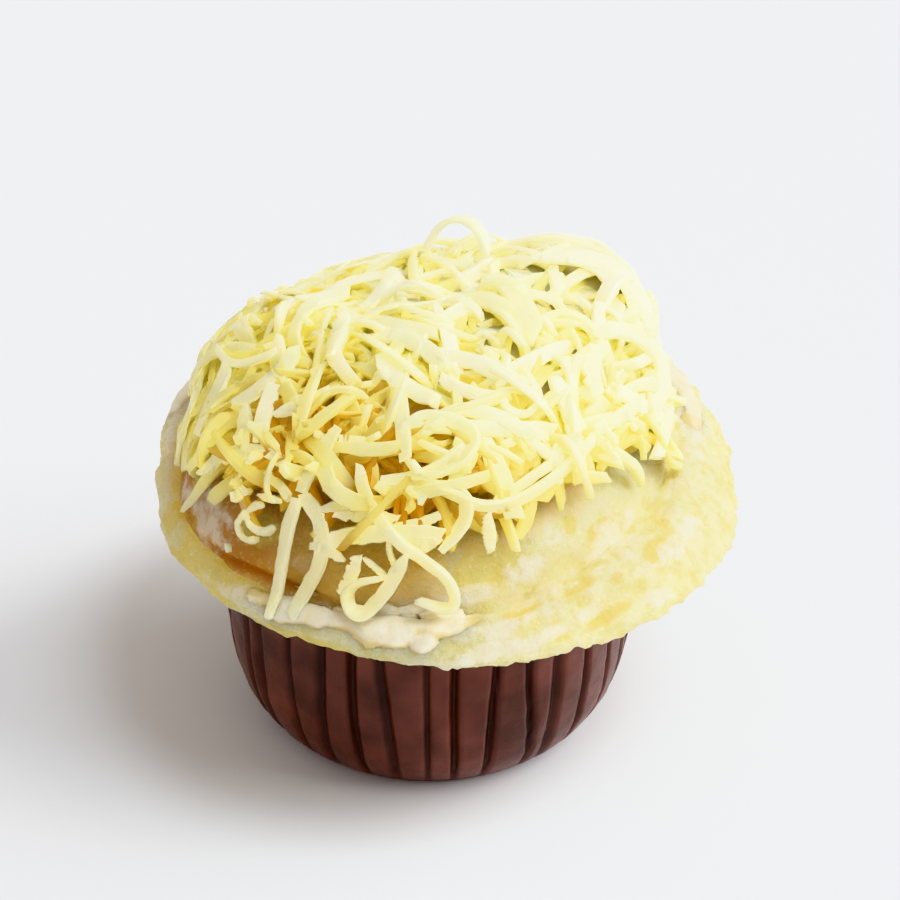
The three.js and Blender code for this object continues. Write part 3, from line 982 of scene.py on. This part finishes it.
class EnsaymadaSettings(bpy.types.PropertyGroup):
    """What a user may change before dressing the solids."""

    pleats: count_setting("Pleats", "Folds round the paper case", 36, 12)
    paper: FloatProperty(
        name="Paper", description="Thickness of the case's wall", default=0.35 * MM, unit="LENGTH"
    )
    ribbons: count_setting("Ribbons", "Loose wide shreds of cheese on the heap", 270)
    deep_ribbons: count_setting("Deep ribbons", "Wide shreds of cheese under them", 260)
    slivers: count_setting("Slivers", "Thin, curly shreds of cheese", 170)
    bits: count_setting("Bits", "Short bits of cheese between the shreds", 60)
    paper_colour: colour_setting("Paper colour", "Dyed brown glassine", "#4d2d25")
    crust_colour: colour_setting("Crust colour", "Browned brioche", "#c48c42")
    butter_colour: colour_setting("Butter colour", "Pale buttered sides", "#ddd28e")
    cream_colour: colour_setting("Cream colour", "Buttercream", "#f1ead2")
    cheese_colour: colour_setting("Cheese colour", "A lit shred", "#e4e4c4")


# ---- Paper case ----
FOOT_RADIUS = 23.5 * MM
CASE_BELLY = 7.6 * MM
BELLY_RISE = 6.0 * MM
CASE_HEIGHT = 31 * MM
PLEAT_DEPTH = 1.1 * MM
POINTS_PER_PLEAT = 12
CASE_ROWS = 30  # rows of faces up the wall, closer together near the foot
CRUMPLE = 0.25 * MM
PLEAT_SEED = 71


def case_radius(z):
    """Radius of the wall at a height, before it is pleated."""
    return FOOT_RADIUS + CASE_BELLY * (1 - np.exp(-z / BELLY_RISE))


def fold_lines(pleats):
    """The same draws as the solid case's: each pleat's stray, width, depth, lean and phase."""
    draw = stream(PLEAT_SEED)
    return np.array([[next(draw) for _ in range(5)] for _ in range(pleats)])


def folded(angle, z, pleats):
    """How deep the paper is folded in at an angle and a height, from 0 to about 1.5."""
    stray, width, depth, lean, phase = fold_lines(pleats).T
    depth = 0.55 + 0.9 * depth
    width = 0.5 + 0.24 * width
    total = np.zeros_like(angle)
    share = angle / (2 * math.pi) * pleats
    for p in range(pleats):
        leaning = 0.5 * (lean[p] - 0.5) * np.sin(z / (9 * MM) + 2 * math.pi * phase[p])
        valley = p + (width[p] + 1) / 2 + 0.3 * (stray[p] - 0.5) + leaning
        half = (1 - width[p]) / 2
        away = np.abs((share - valley + pleats / 2) % pleats - pleats / 2)
        total = np.maximum(total, depth[p] * smooth(half, 0.12 * half, away))
    return total


def select_faces(obj, wanted):
    """Selects the faces that a test picks out, in edit mode."""
    mesh = bmesh.from_edit_mesh(obj.data)
    for face in mesh.faces:
        face.select_set(wanted(face))
    bmesh.update_edit_mesh(obj.data)


def plain_case(sides):
    """An open cup with straight walls, cut into rows, and rings in its foot."""
    deselect()
    bpy.ops.mesh.primitive_cylinder_add(
        vertices=sides,
        radius=FOOT_RADIUS,
        depth=CASE_HEIGHT,
        location=(0, 0, CASE_HEIGHT / 2),
        end_fill_type="NGON",
    )
    case = named("paper_case_pleated")
    bpy.ops.object.transform_apply(location=True)
    bpy.ops.object.mode_set(mode="EDIT")
    select_faces(case, lambda face: face.normal.z > 0.5)
    bpy.ops.mesh.delete(type="FACE")
    for row in range(1, CASE_ROWS):
        bpy.ops.mesh.select_all(action="SELECT")
        height = CASE_HEIGHT * (row / CASE_ROWS) ** 1.4
        bpy.ops.mesh.bisect(plane_co=(0, 0, height), plane_no=(0, 0, 1))
    select_faces(case, lambda face: face.normal.z < -0.5)
    bpy.ops.mesh.inset(thickness=3 * MM)
    bpy.ops.mesh.inset(thickness=8 * MM)
    bpy.ops.object.mode_set(mode="OBJECT")
    return case


def make_paper_case(settings):
    """The case: a cup whose wall is pleated, crumpled and then thickened."""
    case = plain_case(settings.pleats * POINTS_PER_PLEAT)
    points = coordinates(case)
    angle = np.arctan2(points[:, 1], points[:, 0]) % (2 * math.pi)
    z = points[:, 2]
    flat = np.hypot(points[:, 0], points[:, 1])
    wall = flat > FOOT_RADIUS - 0.1 * MM
    fold = folded(angle, z, settings.pleats)
    growth = smooth(-0.5 * MM, 5 * MM, z)
    crumple = CRUMPLE * rough(points, 6 * MM, 3, 2.0)
    radius = case_radius(z) + growth * (crumple - PLEAT_DEPTH * fold)
    radius = np.where(wall, radius, flat)
    put(case, np.stack([radius * np.cos(angle), radius * np.sin(angle), z], -1))
    # the fold depth, which the paper's material uses for painted shade in the folds
    paint(case, "fold", np.where(wall, fold * growth, 0))
    apply_modifier(case, "SOLIDIFY", thickness=settings.paper, offset=-1)
    finish_piece(case, "paper", glassine_paper(settings), "paper_case")


# ---- Bun ----
def bun_places(points):
    """Each point's angle round the bun, and how far it lies from the seam along the crust:
    positive up the inner coil, negative down the outer one."""
    angle = np.arctan2(points[:, 1], points[:, 0])
    radius, height = seam_at(angle)
    beyond = np.hypot(points[:, 0], points[:, 1]) - radius
    above = points[:, 2] - height
    distance = np.hypot(beyond, above)
    return angle, np.where(above > 1.2 * beyond - 0.3 * MM, distance, -distance)


# Patches on the crust: azimuth in degrees and distance up from the seam in millimetres, then
# half the length round the bun in degrees and half the height in millimetres.
FILMS = (
    # thin, milky smears of buttercream
    (301, 7.2, 2, 3.2),
    (293, 3.4, 5, 1.6),
    (279, 2.4, 8, 1.3),
    (293, -6.8, 12, 1.1),
    (279, -6.6, 8, 1.2),
    (286, -4.0, 11, 1.1),
    (297, -1.2, 5, 1.0),
    (318, 0.5, 9, 3.0),
    (316, -3.2, 2, 1.0),
    (317, -10.5, 3, 1.4),
    (309, -2.3, 1.5, 0.8),
    (330, -6.8, 10, 1.6),
    (3, -3.3, 12, 2.0),
    (207, 3.0, 10, 2.6),
    (210, 6.0, 6, 2.0),
    (240, 5.0, 4, 1.2),
    (192, 2.2, 5, 2.0),
    (206, 6.5, 4, 1.5),
    (227, -3.0, 9, 0.9),
    (245, 6.0, 6, 1.5),
    (40, 2.0, 15, 3.0),
    (80, -2.0, 18, 3.0),
    (130, 3.0, 15, 3.0),
    (165, -3.0, 12, 2.0),
)
GOLD = (
    # where butter pooled, with pits in the crust
    (307, 6.1, 1.8, 1.3),
    (302, -3.2, 4.5, 0.8),
    (311, -4.8, 1.6, 0.8),
    (283, 5.8, 7, 4.0),
    (289, -3.0, 4, 0.8),
    (291, 12.5, 6, 3.5),
    (266, 9.0, 10, 3.0),
    (233, -1.6, 23, 1.8),
    (213, -4.5, 12, 1.2),
    (304, -8.4, 7, 1.0),
    (322, -5.5, 4, 1.2),
    (315, 3.0, 5, 1.2),
    (243, -5.4, 10, 0.8),
    (208, -2.0, 5, 1.2),
    (195, -1.5, 4, 2.0),
    (196, 5.5, 3, 3.0),
    (224, 8.0, 6, 2.5),
    (60, 4.0, 8, 3.0),
    (105, 2.0, 10, 3.0),
    (150, 4.0, 8, 3.0),
)
STROKES = (
    # the thick band across the front and the drop that runs off it
    (263, -1.0, 18, 3.2),
    (244, -2.4, 14, 1.5),
    (269, -4.2, 2.4, 1.5),
    # more of the same round the back, where the photo doesn't show it
    (20, -4.0, 16, 1.8),
    (62, -5.0, 10, 1.4),
    (105, -3.0, 20, 2.6),
    (150, -4.5, 11, 1.6),
)


def cover(angle, up, patches, wobble, soft):
    """How far patches cover each point, from 0 to 1, with a border that is soft and ragged."""
    nearest = np.full(len(angle), 9.0)
    for azimuth, height, length, reach in patches:
        around = degrees_from(angle, azimuth) / length
        nearest = np.minimum(nearest, np.hypot(around, (up / MM - height) / reach))
    return smooth(1 + soft, 1 - soft, nearest + wobble)


def ragged(points):
    """The noise that breaks up the borders of the patches."""
    return rough(points, 4 * MM, 4, 3.0, (0.8, 0.8, 1.6))


def crust_lumps(points):
    """The crust's broad unevenness in millimetres, which the buttercream follows. The crust
    swells over the heap's right edge."""
    broad = 0.4 * rough(points, 13 * MM, 2, 1.0) + 0.22 * rough(points, 4.5 * MM, 2, 4.0)
    angle = np.arctan2(points[:, 1], points[:, 0])
    return broad + 0.26 * rough(points, 1.9 * MM, 3, 6.0) + 1.0 * facing(angle, 20, 45)


def dimples_at(points):
    """Small dimples in some parts of the crust, from 0 to 1."""
    where = smooth(-0.1, 0.3, rough(points, 15 * MM, 1, 2.0))
    return smooth(0.15, 0.5, rough(points, 3.0 * MM, 3, 7.0)) * where


def open_seam(angle, up):
    """How open the seam is at each point: wide at the left, where it runs above the solid's own,
    narrow at the right and hardly at all elsewhere. It digs the groove and sets the painted shadow in
    it."""
    line = (1.6 * facing(angle, 235, 45) - 2.8 * facing(angle, 332, 30)) * MM
    wide = 0.15 + 1.0 * facing(angle, 232, 36) + 0.2 * facing(angle, 332, 28)
    return np.exp(-(((up - line) / MM / 0.6) ** 2)) * wide


def coil_relief(points, angle, up):
    """Relief of the outer coil in millimetres: flaky layers, a frayed rim, and dough that fills
    the solid's own groove at the left."""
    layers = rough(points, 2.4 * MM, 3, 9.0, (0.35, 0.35, 2.2))
    frayed = rough(points, 1.9 * MM, 3, 9.0)
    on_coil = smooth(-1.5 * MM, -4 * MM, up)
    flat = np.hypot(points[:, 0], points[:, 1])
    at_rim = smooth(-5 * MM, -8 * MM, up) * smooth(37 * MM, 41 * MM, flat)
    filled = np.exp(-(((up / MM - 0.2) / 1.3) ** 2)) * facing(angle, 225, 70)
    return 0.28 * on_coil * layers + 0.9 * filled + 0.7 * at_rim * frayed


def browned_and_shaded_share(angle, up):
    """How brown the crust is: browning above the seam, and painted shade that puts most of it at the
    left, away from the light.
    """
    left = facing(angle, 206, 82)
    return np.clip((0.1 + 0.95 * left) * smooth(-1 * MM, 1.5 * MM, up) + 0.12 * left, 0, 1)


def sheltered_share(angle, up, wobble):
    """The crust under the front of the heap and its right edge, lit through the cheese."""
    front = facing(angle, 254, 34) * smooth(0, 4 * MM, up + 1.0 * MM * wobble)
    return np.maximum(front, 0.6 * facing(angle, 305, 75) * smooth(5 * MM, 11 * MM, up))


def make_bun(settings):
    """The bun: its solid, finely divided, with relief above the case and painted shares."""
    bun = solid_copy("bun", "bun_crust")
    subdivide(bun, 3)
    points = coordinates(bun)
    angle, up = bun_places(points)
    wobble = ragged(points)
    seam = open_seam(angle, up)
    gold = cover(angle, up, GOLD, 0.5 * wobble, 0.5)
    film = cover(angle, up, FILMS, 0.5 * wobble, 0.6)
    spread = cover(angle, up, STROKES, 0.3 * wobble, 0.7)
    dimples = dimples_at(points)
    pits = np.maximum(dimples, gold * smooth(-0.4, 0.4, wobble))
    relief = crust_lumps(points) + coil_relief(points, angle, up)
    relief += 0.12 * wobble - 0.45 * pits + 0.2 * film - 1.1 * seam
    crown = smooth(30 * MM, 33 * MM, points[:, 2])
    put(bun, points + normals(bun) * (crown * relief * MM)[:, None])
    # painted shade: the tan leans to the left, away from the light
    paint(bun, "tan", browned_and_shaded_share(angle, up))
    # painted shadow in the seam
    paint(bun, "seam", np.clip(seam, 0, 1))
    paint(bun, "gold", np.maximum(gold, 0.45 * dimples))
    paint(bun, "sheltered", sheltered_share(angle, up, wobble))
    paint(bun, "film", np.maximum(film, spread))
    finish_piece(bun, "crust", brioche_crust(settings), "bun")


# ---- Buttercream ----
SUNK = -0.5  # millimetres under the crust, where there is no buttercream
THICKEST = 0.65
RIDGES = 0.35  # height of the knife's ridges, in millimetres


def cream_places(points):
    """How thick the buttercream is at each point, in millimetres, and how far it covers."""
    angle, up = bun_places(points)
    share = cover(angle, up, STROKES, 0.45 * ragged(points), 0.45)
    streaks = rough(points, 2.2 * MM, 3, 5.0, (0.3, 0.3, 2.4)) * smooth(0.3, 0.8, share)
    return lerp(SUNK, THICKEST, share) + RIDGES * streaks, share


def delete_faces(obj, doomed):
    """Deletes the faces that a test picks out."""
    activate(obj)
    bpy.ops.object.mode_set(mode="EDIT")
    bpy.ops.mesh.select_mode(type="FACE")
    bpy.ops.mesh.select_all(action="DESELECT")
    select_faces(obj, doomed)
    bpy.ops.mesh.delete(type="FACE")
    bpy.ops.object.mode_set(mode="OBJECT")


def make_buttercream(settings):
    """The buttercream: the crust's surface under the strokes, raised and then thickened."""
    cream = solid_copy("bun", "buttercream_strokes")
    subdivide(cream, 3)
    share = cream_places(coordinates(cream))[1]
    bare = share < 0.02
    delete_faces(cream, lambda face: all(bare[v.index] for v in face.verts))
    points = coordinates(cream)
    thick, share = cream_places(points)
    put(cream, points + normals(cream) * ((crust_lumps(points) + thick) * MM)[:, None])
    paint(cream, "thin", 1 - smooth(0.45, 1.0, share))
    apply_modifier(cream, "SOLIDIFY", thickness=1.2 * MM, offset=-1)
    finish_piece(cream, "cream", buttercream_finish(settings), "buttercream")


# ---- Grated cheese ----
CORE_SHARE = 0.68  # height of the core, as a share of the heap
HOLLOW = 0.3  # how much lower it is in the shaded hollow
CORE_LUMPS = 0.9 * MM
CORE_TUCK = 2.5 * MM  # how far its edge is drawn in under the shreds
LUMP_RADIUS = 40 * MM  # of the dome on which the lumps are laid out
NAMED_EASE = 0.65  # the named shreds lie on top, so they look less packed and shaded


def make_core(bed):
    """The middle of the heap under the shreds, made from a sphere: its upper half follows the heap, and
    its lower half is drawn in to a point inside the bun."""
    deselect()
    bpy.ops.mesh.primitive_uv_sphere_add(segments=160, ring_count=80, radius=1)
    core = named("grated_cheese_core")
    azimuth, polar = angles_of(coordinates(core))
    edge = heap_edge(azimuth)
    shown = polar / (math.pi / 2) * edge
    directions = direction_of(azimuth, np.minimum(shown, edge))
    bumps = CORE_LUMPS * rough(directions * LUMP_RADIUS, 3.0 * MM, 3, 5.0)
    tuck = CORE_TUCK * smooth(0.8, 1.0, shown / edge)
    hollow = shaded_hollow(azimuth, polar)
    upper = heap_point(bed, directions, CORE_SHARE - HOLLOW * hollow, bumps - tuck)
    depth = smooth(1.0, 2.0, shown / edge)
    middle = HEART + np.array([0, 0, 12 * MM])
    put(core, np.where((shown > edge)[:, None], lerp(upper, middle, depth[:, None]), upper))
    # painted shade and light for the core's colour: the shaded hollow, and how far it is turned from
    # the light
    paint(core, "shade", hollow)
    paint(core, "lee", lee_share(upper, directions))
    finish_piece(core, "cheese", packed_cheese_finish())


def shred_groups(settings, bed):
    """The shreds of every kind, laid on the heap: each loose kind's seed, then its range of
    places in the heap, lengths and widths, and how far it curls and bows."""
    named_ribbon = shred_template("named_ribbon", NAMED_STATIONS)
    ribbon = shred_template("ribbon", RIBBON_STATIONS)
    bit = shred_template("bit", BIT_STATIONS)
    upper = loose_forms(settings.ribbons, 2024, (0.5, 0.8), (12, 26), (1.7, 2.8), 130, 260)
    deep = loose_forms(settings.deep_ribbons, 77, (0.4, 0.65), (12, 26), (2.0, 3.2), 70, 160)
    slivers = loose_forms(settings.slivers, 9, (0.5, 0.8), (8, 20), (0.9, 1.6), 220, 400)
    bits = loose_forms(settings.bits, 5, (0.5, 0.78), (2, 6), (1.2, 2.2), 90, 60)
    return {
        "cheese_shreds_named": laid_shreds(bed, named_ribbon, named_forms(), 11),
        "cheese_ribbons": laid_shreds(bed, ribbon, upper, 21),
        "cheese_ribbons_deep": laid_shreds(bed, ribbon, deep, 31),
        "cheese_slivers": laid_shreds(bed, ribbon, slivers, 51),
        "cheese_bits": laid_shreds(bed, bit, bits, 41),
    }


def shred_piece(name, group, heap):
    """The mesh of a group of shreds, painted with what its material reads."""
    piece = mesh_piece(name, group["points"], group["faces"])
    ease = NAMED_EASE if name == "cheese_shreds_named" else 1
    # painted shade: lee, packed and shade set how deep a yellow the material paints each part
    lee = lee_share(group["points"], normals(piece)) * ease
    packed = packed_shade_share(heap, group) * ease
    seen = np.maximum(lerp(0.3, 1.1, lee), smooth(0.75, 0.95, packed))
    paint(piece, "packed", packed * seen)
    paint(piece, "lee", lee)
    paint(piece, "tone", group["tone"])
    paint(piece, "shade", shaded_hollow(*angles_of(outwards_at(group["points"]))))
    return piece


def make_cheese(settings):
    """The core and the shreds. All the shreds are one piece, because light only spreads from
    shred to shred within one piece."""
    bed = Bed(("bun", "buttercream"))
    make_core(bed)
    groups = shred_groups(settings, bed)
    heap = tree_of_points(groups.values())
    pieces = [shred_piece(name, group, heap) for name, group in groups.items()]
    shreds = joined(pieces, "grated_cheese_shreds")
    finish_piece(shreds, "cheese", grated_cheese_finish(settings), "grated_cheese")
    bpy.ops.object.shade_smooth_by_angle(angle=math.radians(35))


# ---- Stage ----
CAMERA_ELEVATION = math.radians(33)
CAMERA_DISTANCE = 0.45
CAMERA_TARGET = Vector((0.003, 0, 0.0433))
LENS = 122.4
FLOOR_SIZE = 6.0
LAMP_DISTANCE = 0.9
WINDOW = {"energy": 3.1, "angle": math.radians(50), "color": (0.96, 1.0, 1.03)}
CEILING_LIGHT = {"energy": 0.85, "angle": math.radians(20), "color": (0.85, 1.0, 1.1)}
ROOM_LIGHT = (0.62, 0.56, 0.53, 1)


def make_floor():
    deselect()
    bpy.ops.mesh.primitive_plane_add(size=FLOOR_SIZE)
    floor = named("studio_floor")
    floor.data.materials.append(seamless_floor())


def make_camera():
    """A camera that sees what the photo shows, from the front and above."""
    back = Vector((0, -math.cos(CAMERA_ELEVATION), math.sin(CAMERA_ELEVATION)))
    deselect()
    bpy.ops.object.camera_add(
        location=CAMERA_TARGET + CAMERA_DISTANCE * back,
        rotation=back.to_track_quat("Z", "Y").to_euler(),
    )
    camera = bpy.context.view_layer.objects.active
    camera.data.lens = LENS
    camera.data.sensor_width = 36
    camera.data.clip_start = 0.01
    bpy.context.scene.camera = camera


def make_sun(name, azimuth, elevation, settings):
    """A sun that shines on the object from a direction given in degrees."""
    direction = Vector(direction_of(math.radians(azimuth), math.radians(90 - elevation)))
    deselect()
    bpy.ops.object.light_add(
        type="SUN",
        location=direction * LAMP_DISTANCE,
        rotation=direction.to_track_quat("Z", "Y").to_euler(),
    )
    light = bpy.context.view_layer.objects.active
    light.name = name
    for key, value in settings.items():
        setattr(light.data, key, value)


def make_stage():
    """The floor, the camera, two suns and the even light of the room."""
    scene = bpy.context.scene
    make_floor()
    make_camera()
    make_sun("window", azimuth=0, elevation=34, settings=WINDOW)
    make_sun("ceiling_light", azimuth=-25, elevation=68, settings=CEILING_LIGHT)
    world = bpy.data.worlds.new("Studio") if scene.world is None else scene.world
    scene.world = world
    world.use_nodes = True
    background = world.node_tree.nodes["Background"]
    background.inputs["Color"].default_value = ROOM_LIGHT
    background.inputs["Strength"].default_value = 1.0
    scene.view_settings.view_transform = "Khronos PBR Neutral"
    scene.view_settings.look = "None"


# ---- Operators ----
class EnsaymadaOperator:
    """What the operators share: each makes its part of the scene from the settings."""

    bl_options = {"REGISTER", "UNDO"}

    def execute(self, context):
        self.make(context.scene.ensaymada)
        return {"FINISHED"}


class ENSAYMADA_OT_stage(EnsaymadaOperator, bpy.types.Operator):
    """Add the floor, the camera and the lights"""

    bl_idname = "ensaymada.stage"
    bl_label = "Set the Stage"

    def execute(self, context):
        make_stage()
        return {"FINISHED"}


class ENSAYMADA_OT_paper_case(EnsaymadaOperator, bpy.types.Operator):
    """Fold the brown paper case"""

    bl_idname = "ensaymada.paper_case"
    bl_label = "Fold the Paper Case"
    make = staticmethod(make_paper_case)


class ENSAYMADA_OT_bun(EnsaymadaOperator, bpy.types.Operator):
    """Bake the coiled bun"""

    bl_idname = "ensaymada.bun"
    bl_label = "Bake the Bun"
    make = staticmethod(make_bun)


class ENSAYMADA_OT_buttercream(EnsaymadaOperator, bpy.types.Operator):
    """Spread the buttercream"""

    bl_idname = "ensaymada.buttercream"
    bl_label = "Spread the Buttercream"
    make = staticmethod(make_buttercream)


class ENSAYMADA_OT_cheese(EnsaymadaOperator, bpy.types.Operator):
    """Heap up the grated cheese"""

    bl_idname = "ensaymada.cheese"
    bl_label = "Heap the Cheese"
    make = staticmethod(make_cheese)


class ENSAYMADA_PT_panel(bpy.types.Panel):
    """Lists the steps and the settings"""

    bl_label = "Ensaymada"
    bl_space_type = "VIEW_3D"
    bl_region_type = "UI"
    bl_category = "Ensaymada"

    def draw(self, context):
        for key in EnsaymadaSettings.__annotations__:
            self.layout.prop(context.scene.ensaymada, key)
        for operator in OPERATORS:
            self.layout.operator(operator.bl_idname)


OPERATORS = (
    ENSAYMADA_OT_stage,
    ENSAYMADA_OT_paper_case,
    ENSAYMADA_OT_bun,
    ENSAYMADA_OT_buttercream,
    ENSAYMADA_OT_cheese,
)
CLASSES = (EnsaymadaSettings, *OPERATORS, ENSAYMADA_PT_panel)


def register():
    for each in CLASSES:
        bpy.utils.register_class(each)
    bpy.types.Scene.ensaymada = PointerProperty(type=EnsaymadaSettings)


def unregister():
    del bpy.types.Scene.ensaymada
    for each in reversed(CLASSES):
        bpy.utils.unregister_class(each)


def main():
    register()
    bpy.ops.ensaymada.stage()
    bpy.ops.ensaymada.paper_case()
    bpy.ops.ensaymada.bun()
    bpy.ops.ensaymada.buttercream()
    bpy.ops.ensaymada.cheese()


if __name__ == "__main__":
    main()
